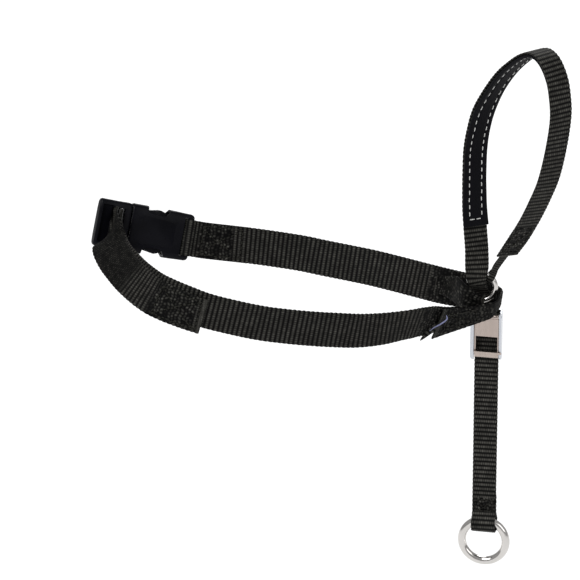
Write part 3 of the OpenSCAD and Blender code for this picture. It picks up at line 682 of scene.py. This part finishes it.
lining = padded_lining()
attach(lining, "nose")
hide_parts("nose_lining")
LINING_FACE = LINING_OFF - LINING_T / 2
bars = [b for k in (-1, 1)
        for b in row_bars(NOSE, [LINING_FROM + 0.5, k * STITCH_V], [LINING_TO - 0.3, k * STITCH_V],
                          STITCHES, LINING_FACE + 0.3, fill=0.6, stray=0.35)]
end_q = LINING_FROM + 0.35
bars += row_bars(NOSE, [end_q, -STITCH_V], [end_q, STITCH_V], 2, LINING_FACE + 0.12, fill=0.8)
seam = thread_bars("lining_seam", bars, LINING_THREAD_D, "white_thread", sides=10, rings=13)
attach(seam, "nose")
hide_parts("lining_stitching")

# ---- Control strap ----
control = strap("control_webbing", CONTROL, NOSE_W, NOSE_T, "nose_webbing", relief=0.27,
                zones=[(4.6, 5.9)])
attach(control, "control")
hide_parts("control_strap")
seam = box_seam("control_end_seam", CONTROL, 4.72, 5.8, 4.6, ON_NOSE, 5, 4)
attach(seam, "control")
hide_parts("control_end_stitching")


# ---- Rings ----
def ring(name, centre, turned, d, wire, slot):
    """Round wire bent to a ring, with its welded joint as a faint swell."""
    around, sides = 128, 32
    a = np.linspace(0, 2 * math.pi, around, endpoint=False)
    b = np.linspace(0, 2 * math.pi, sides, endpoint=False)
    weld = 1 + 0.02 * np.exp(-((a - math.pi / 2) / 0.07) ** 2)
    r = (d - wire) / 2 + wire / 2 * weld[:, None] * np.cos(b)[None]
    local = np.stack([r * np.cos(a)[:, None], wire / 2 * weld[:, None] * np.sin(b)[None],
                      r * np.sin(a)[:, None]], -1)
    i, k = np.meshgrid(np.arange(around), np.arange(sides), indexing="ij")
    nxt, nk = (i + 1) % around, (k + 1) % sides
    faces = np.stack([i * sides + k, nxt * sides + k, nxt * sides + nk, i * sides + nk], -1)
    return make(name, centre + local.reshape(-1, 3) @ turned.T, faces.reshape(-1, 4).tolist(), slot)


chin = ring("chin_ring_wire", CHIN_AT, np.eye(3), CHIN_D, CHIN_WIRE, "ring_metal")
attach(chin, "nose")
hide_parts("chin_ring")
LEAD_HANG = 10.2                 # from the fold's middle down to the ring's centre
lead = ring("lead_ring_wire", on_control([0, LEAD_PIVOT[0], LEAD_PIVOT[1] - LEAD_HANG]), CONTROL_TURN,
            LEAD_D, LEAD_WIRE, "ring_metal")
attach(lead, "lead")
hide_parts("lead_ring")


# ---- Moulded and sheet-metal parts ----
def block(outline, low, high):
    """A prism over an outline of two coordinates, between low and high on the third."""
    n = len(outline)
    points = [(*c, low) for c in outline] + [(*c, high) for c in outline]
    faces = [list(range(n))[::-1], list(range(n, 2 * n))]
    return points, faces + [[i, (i + 1) % n, (i + 1) % n + n, i + n] for i in range(n)]


def box(x0, x1, w0, w1, t0, t1):
    return block([(x0, w0), (x1, w0), (x1, w1), (x0, w1)], t0, t1)


def angles(sides):
    return [2 * math.pi * i / sides for i in range(sides)]


def buckle_rod(x, r, half, sides=28):
    """A round bar across the buckle."""
    points, faces = block([(x + r * math.cos(a), r * math.sin(a)) for a in angles(sides)], -half, half)
    return [(a, c, b) for a, b, c in points], faces


def loft(rows, power=4.5, sides=48):
    """A closed body from [x, half width, half thickness] rows, with softly squared sections."""
    angle = np.linspace(0, 2 * math.pi, sides, endpoint=False)
    c, s = (np.copysign(np.abs(v) ** (2 / power), v) for v in (np.cos(angle), np.sin(angle)))
    points = [(x, a * hw, b * ht) for x, hw, ht in rows for a, b in zip(c, s)]
    return points, tube_faces(len(rows), sides)


def soften(o, width, angle, merge=None):
    """Rounds the edges sharper than the angle, after joining vertices closer than merge."""
    if merge:
        weld = o.modifiers.new("weld", "WELD")
        weld.merge_threshold = merge * MM
    rounding = o.modifiers.new("bevel", "BEVEL")
    rounding.width, rounding.segments, rounding.limit_method = width * MM, 3, "ANGLE"
    rounding.angle_limit = math.radians(angle)


def bake(o):
    """Replaces an object's mesh by what its modifiers make of it."""
    done = bpy.data.meshes.new_from_object(o.evaluated_get(bpy.context.evaluated_depsgraph_get()))
    o.modifiers.clear()
    o.data = done


BEVEL_ANGLE, SHARP_ANGLE = 32, 38    # degrees: rounded beyond the first, shaded sharp beyond the second


def carve(name, body, changes, place, slot, edge):
    """A body with shapes cut from it or joined to it in turn, and its edges rounded."""
    def solid(shape, label):
        return make(label, place(shape[0]), shape[1], slot)

    o = solid(body, name)
    for operation, shape in changes:
        other = solid(shape, "cutter")
        change = o.modifiers.new("change", "BOOLEAN")
        change.object, change.operation, change.solver = other, operation, "EXACT"
        bake(o)
        bpy.data.objects.remove(other)
    o.data.materials.clear()
    o.data.materials.append(MATERIALS[slot])
    soften(o, edge, BEVEL_ANGLE, merge=0.01)
    bake(o)
    o.data.polygons.foreach_set("use_smooth", [True] * len(o.data.polygons))
    o.data.set_sharp_from_angle(angle=math.radians(SHARP_ANGLE))
    return o


# The buckle, in its own x, width and thickness
HALF_W = BUCKLE_W / 2
THROUGH = 5.0                    # past the buckle's faces, for cuts right through it
GAP_W = 10.2                     # half width of the gap that the webbing passes
SLOT_X, SOCKET_END = 28.2 + 1.3, 35.0    # the slot starts 1.3 further out than the CAD's
SLOT_LIP = 2.1                   # the end bar's half thickness beside the webbing
HOLLOW_T = 2.6                   # half height of the hollow that takes the plug
WINDOW = [(8.5, 15), (8.5, 10), (9.5, 9.2), (13, 8.8), (16.5, 8.6), (18.5, 9), (19.6, 10),
          (20.6, 11.3), (21, 12), (21.6, 15)]
PANEL = [(6, -6.4), (7.2, -7.4), (22, -6.6), (24.6, -5.2), (24.6, 5.2), (22, 6.6), (7.2, 7.4), (6, 6.4)]
PANEL_FACE = 3.55                # a shallow moulded panel is sunk to this height on each face
cuts = [("DIFFERENCE", shape) for shape in (
    box(-1, 25, -10.4, 10.4, -HOLLOW_T, HOLLOW_T),
    box(3, 23, -11.3, 11.3, -HOLLOW_T, HOLLOW_T),
    block(WINDOW, -THROUGH, THROUGH),
    block([(x, -w) for x, w in WINDOW][::-1], -THROUGH, THROUGH),
    box(SLOT_X, SOCKET_END - 3.9, -GAP_W, GAP_W, -THROUGH, THROUGH),
    box(SLOT_X, SOCKET_END + 1, -GAP_W, GAP_W, SLOT_LIP, THROUGH),
    box(SLOT_X, SOCKET_END + 1, -GAP_W, GAP_W, -THROUGH, -SLOT_LIP),
    block(PANEL, -THROUGH, -PANEL_FACE),
    block(PANEL, PANEL_FACE, THROUGH),
)]
socket = carve(
    "buckle_socket_body",
    loft([[0, 11.9, 3.3], [0.5, 12.4, 3.65], [1.4, HALF_W, 3.8], [7, HALF_W, 3.8], [20, 12.6, 3.8],
          [25, 12.5, 3.6], [29, 12.3, 3.0], [33, 12.2, 2.7], [34.4, 11.8, 2.5], [SOCKET_END, 11.1, 2.0]]),
    cuts, on_buckle, "buckle_plastic", 0.38)
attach(socket, "root")
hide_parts("buckle_socket")

RAIL_IN = -PLUG_L + 7.0          # the inner edge of the plain rail at the plug's outer end
PLUG_GAP = 8.95                  # half width of the plug's window
plug = carve(
    "buckle_plug_body",
    loft([[-PLUG_L, 11.4, 2.0], [-PLUG_L + 0.5, 12.1, 2.55], [-PLUG_L + 1.4, 12.5, 2.8], [-8, 12.4, 2.8],
          [-2, 12.5, 2.8], [-0.9, 12.3, 2.75], [-0.4, 12.0, 2.5]]),
    [("DIFFERENCE", box(RAIL_IN, -4.1, -PLUG_GAP, PLUG_GAP, -THROUGH, THROUGH)),
     ("DIFFERENCE", box(-PLUG_L + 1.5, RAIL_IN + 0.1, -9.8, 9.8, 1.6, THROUGH)),
     ("DIFFERENCE", box(-PLUG_L + 1.5, RAIL_IN + 0.1, -9.8, 9.8, -THROUGH, -1.6)),
     ("UNION", buckle_rod(WEB_BAR_X, WEB_BAR_R, GAP_W + 0.6)),
     ("UNION", box(-1.6, 20.2, -1.3, 1.3, -1.2, 1.2))],
    on_buckle, "buckle_plastic", 0.34)
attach(plug, "plug")
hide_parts("buckle_plug_frame")

# The release arms are the CAD's own, with their edges rounded
for node in ("upper_release_arm", "lower_release_arm"):
    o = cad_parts[node]
    o.data.materials.clear()
    o.data.materials.append(MATERIALS["buckle_plastic"])
    soften(o, 0.4, 35, merge=0.002)

# The clamp, in the control strap's own x, y, z
CLAMP_TOP, WALL_FRONT, BACK_Y, CORNER_R, BEND_R = -12.0, -4.3, 1.6, 3.0, 1.1
TOP_R = 0.8                      # how far down the walls' upper front corners are eased
PIN_Y, PIN_Z = -3.3, -14.4


def channel():
    """The clamp's bent sheet: a back and two side walls whose lower front corners are round."""
    mid_x, mid_y = CLAMP_W / 2 - SHEET_T / 2, BACK_Y + SHEET_T / 2
    bend = np.radians(np.linspace(0, 90, 7))
    right = [(mid_x - BEND_R + BEND_R * math.cos(a), mid_y - BEND_R + BEND_R * math.sin(a)) for a in bend]
    straight = CLAMP_H - CORNER_R
    heights = np.concatenate([np.linspace(0, TOP_R, 5), np.linspace(1.8, straight, 18),
                              straight + CORNER_R * np.sin(np.radians(np.linspace(8, 90, 12)))])
    points, m = [], 0
    for h in heights:
        low = max(0.0, h - straight)
        front = WALL_FRONT + CORNER_R - math.sqrt(max(0, CORNER_R**2 - low**2)) + max(0, TOP_R - h) ** 2
        ys = np.linspace(front, mid_y - BEND_R, 7)[:-1]
        row = [(mid_x, y) for y in ys] + right
        row = row + [(x, mid_y) for x in np.linspace(mid_x - BEND_R, -(mid_x - BEND_R), 12)[1:-1]]
        row = row + [(-x, y) for x, y in right[::-1]] + [(-mid_x, y) for y in ys[::-1]]
        points += [(x, y, CLAMP_TOP - h) for x, y in row]
        m = len(row)
    i, k = np.meshgrid(np.arange(len(heights) - 1), np.arange(m - 1), indexing="ij")
    a = i * m + k
    faces = np.stack([a, a + 1, a + m + 1, a + m], -1).reshape(-1, 4)
    o = make("clamp_channel", on_control(points), faces.tolist(), "channel_metal")
    thick = o.modifiers.new("sheet", "SOLIDIFY")
    thick.thickness, thick.offset = SHEET_T * MM, 0
    soften(o, 0.22, 50)
    return o


clamp = channel()
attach(clamp, "clamp")
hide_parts("clamp_frame")


def upright(shape):
    """Points given as x, z, y in the control strap's own frame."""
    return on_control([(a, c, b) for a, b, c in shape])


def crosswise(outline, left, right):
    """A prism over an outline of z and y, from left to right across the clamp."""
    points, faces = block(outline, left, right)
    return [(c, a, b) for a, b, c in points], faces


def clamp_rod(y, z, r, half, sides=32):
    return crosswise([(z + r * math.sin(a), y + r * math.cos(a)) for a in angles(sides)], -half, half)


pin = carve("clamp_hinge_pin", clamp_rod(PIN_Y, PIN_Z, PIN_D / 2, CLAMP_W / 2 + 0.2), [], upright,
            "channel_metal", 0.2)
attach(pin, "clamp")
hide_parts("clamp_pin")

# The left wall's folded front edge, rounded at its lower outer corner
HEM_TOP, HEM_BOTTOM, HEM_IN, HEM_R = CLAMP_TOP - 0.3, CLAMP_TOP - CLAMP_H, -6.1, 1.65
hem = [(-CLAMP_W / 2 - 0.05, HEM_TOP), (HEM_IN, HEM_TOP), (HEM_IN, HEM_BOTTOM)]
hem += [(-CLAMP_W / 2 + 1.6 - HEM_R * math.sin(a), HEM_BOTTOM + HEM_R - HEM_R * math.cos(a))
        for a in np.radians(np.linspace(0, 90, 9))]
edge = carve("clamp_front_hem", block(hem, WALL_FRONT - 0.2, WALL_FRONT + 0.8), [], upright,
             "channel_metal", 0.25)
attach(edge, "clamp")

GATE_HALF = (CLAMP_W - 2 * SHEET_T - 0.6) / 2
GATE_LEFT = -5.9                 # the plate stops beside the left wall's folded front edge
KNUCKLE_R = 1.3                  # the plate's rolled upper edge, round the pin
GATE_TOP, GATE_H, FACE_Y = PIN_Z + KNUCKLE_R, 24.0, PIN_Y - SHEET_T / 2
WINDOW_Z, WINDOW_H, LIP_OUT, LIP_OVER = -25.5, 8.0, 1.6, 1.8
WINDOW_X = (-5.2, 6.2)           # the window's sides, in the plate
TEETH, TOOTH_IN, TOOTH_OUT = 6, 1.2, 1.6
lip_z, lip_y, gate_bottom = WINDOW_Z - WINDOW_H - SHEET_T, FACE_Y - LIP_OUT, GATE_TOP - GATE_H
changes = [
    ("UNION", clamp_rod(PIN_Y, PIN_Z, KNUCKLE_R, GATE_HALF)),
    ("UNION", box(GATE_LEFT, GATE_HALF, lip_z, lip_z + SHEET_T, lip_y, FACE_Y + 0.4)),
    ("UNION", box(GATE_LEFT, GATE_HALF + LIP_OVER, lip_z, lip_z + SHEET_T, lip_y, lip_y + 0.8)),
    ("DIFFERENCE", box(*WINDOW_X, WINDOW_Z - WINDOW_H, WINDOW_Z, FACE_Y - 3, FACE_Y + 3)),
    ("DIFFERENCE", clamp_rod(PIN_Y, PIN_Z, PIN_D / 2 + 0.06, CLAMP_W)),
]
for i in range(TEETH):
    x = -GATE_HALF + TOOTH_IN + i * (2 * GATE_HALF - 2 * TOOTH_IN) / (TEETH - 1)
    z, y = gate_bottom + TOOTH_IN, FACE_Y + SHEET_T - 0.1
    tooth = [(z - 0.9, y), (z + 0.9, y), (z, y + TOOTH_OUT)]
    changes.append(("UNION", crosswise(tooth, x - 0.45, x + 0.45)))
plate = box(GATE_LEFT, GATE_HALF, gate_bottom, GATE_TOP - KNUCKLE_R, FACE_Y, FACE_Y + SHEET_T)
gate = carve("clamp_gate_plate", plate, changes, upright, "clamp_metal", 0.16)
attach(gate, "gate")
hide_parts("clamp_gate")

# ---- Stage ----
FOCAL, SENSOR, FAR, TILT = 301.0, 36.0, 2.5, math.radians(22)    # FAR in metres
CLIP_END, WORLD_LIGHT = 40, 0.42
camera = bpy.data.objects.new("camera", bpy.data.cameras.new("camera"))
bpy.context.scene.collection.objects.link(camera)
bpy.context.scene.camera = camera
camera.data.lens, camera.data.sensor_width = FOCAL, SENSOR
camera.data.clip_end = CLIP_END
camera.location = (0, -FAR * math.cos(TILT), FAR * math.sin(TILT))
camera.rotation_euler = (math.pi / 2 - TILT, 0, 0)

FLOOR_GAP, FLOOR_HALF = 0.16, 9  # metres below the part, and from the middle to each edge
floor_mesh = bpy.data.meshes.new("floor")
corners = [(x * FLOOR_HALF, y * FLOOR_HALF, cad_lo.z - FLOOR_GAP)
           for x, y in ((-1, -1), (1, -1), (1, 1), (-1, 1))]
floor_mesh.from_pydata(corners, [], [(0, 1, 2, 3)])
floor = bpy.data.objects.new("floor", floor_mesh)
bpy.context.scene.collection.objects.link(floor)
floor_look, floor_tree, floor_shader = new_material("pale_floor", Roughness=0.9, Specular_IOR_Level=0.1)
floor_tree.links.new(grey_ramp(floor_tree, noise(floor_tree, 3, 2), 0.9, 0.93),
                     floor_shader.inputs["Base Color"])
floor_mesh.materials.append(floor_look)


def softbox(name, at_point, size, power):
    """A square area light aimed at the middle of the part."""
    light = bpy.data.lights.new(name, "AREA")
    light.shape, light.size, light.energy = "SQUARE", size, power
    o = bpy.data.objects.new(name, light)
    o.location = at_point
    o.rotation_euler = (-Vector(at_point)).to_track_quat("-Z", "Y").to_euler()
    bpy.context.scene.collection.objects.link(o)


softbox("key", (-1.3, -1.6, 2.2), 1.3, 62)
softbox("fill", (2.0, -1.4, 1.1), 1.6, 14)
softbox("back", (0.4, 2.0, 1.8), 1.5, 40)
world = bpy.data.worlds.new("studio")
bpy.context.scene.world = world
world.use_nodes = True
world.node_tree.nodes["Background"].inputs["Color"].default_value = (1, 1, 1, 1)
world.node_tree.nodes["Background"].inputs["Strength"].default_value = WORLD_LIGHT
bpy.context.scene.view_settings.view_transform = "Standard"
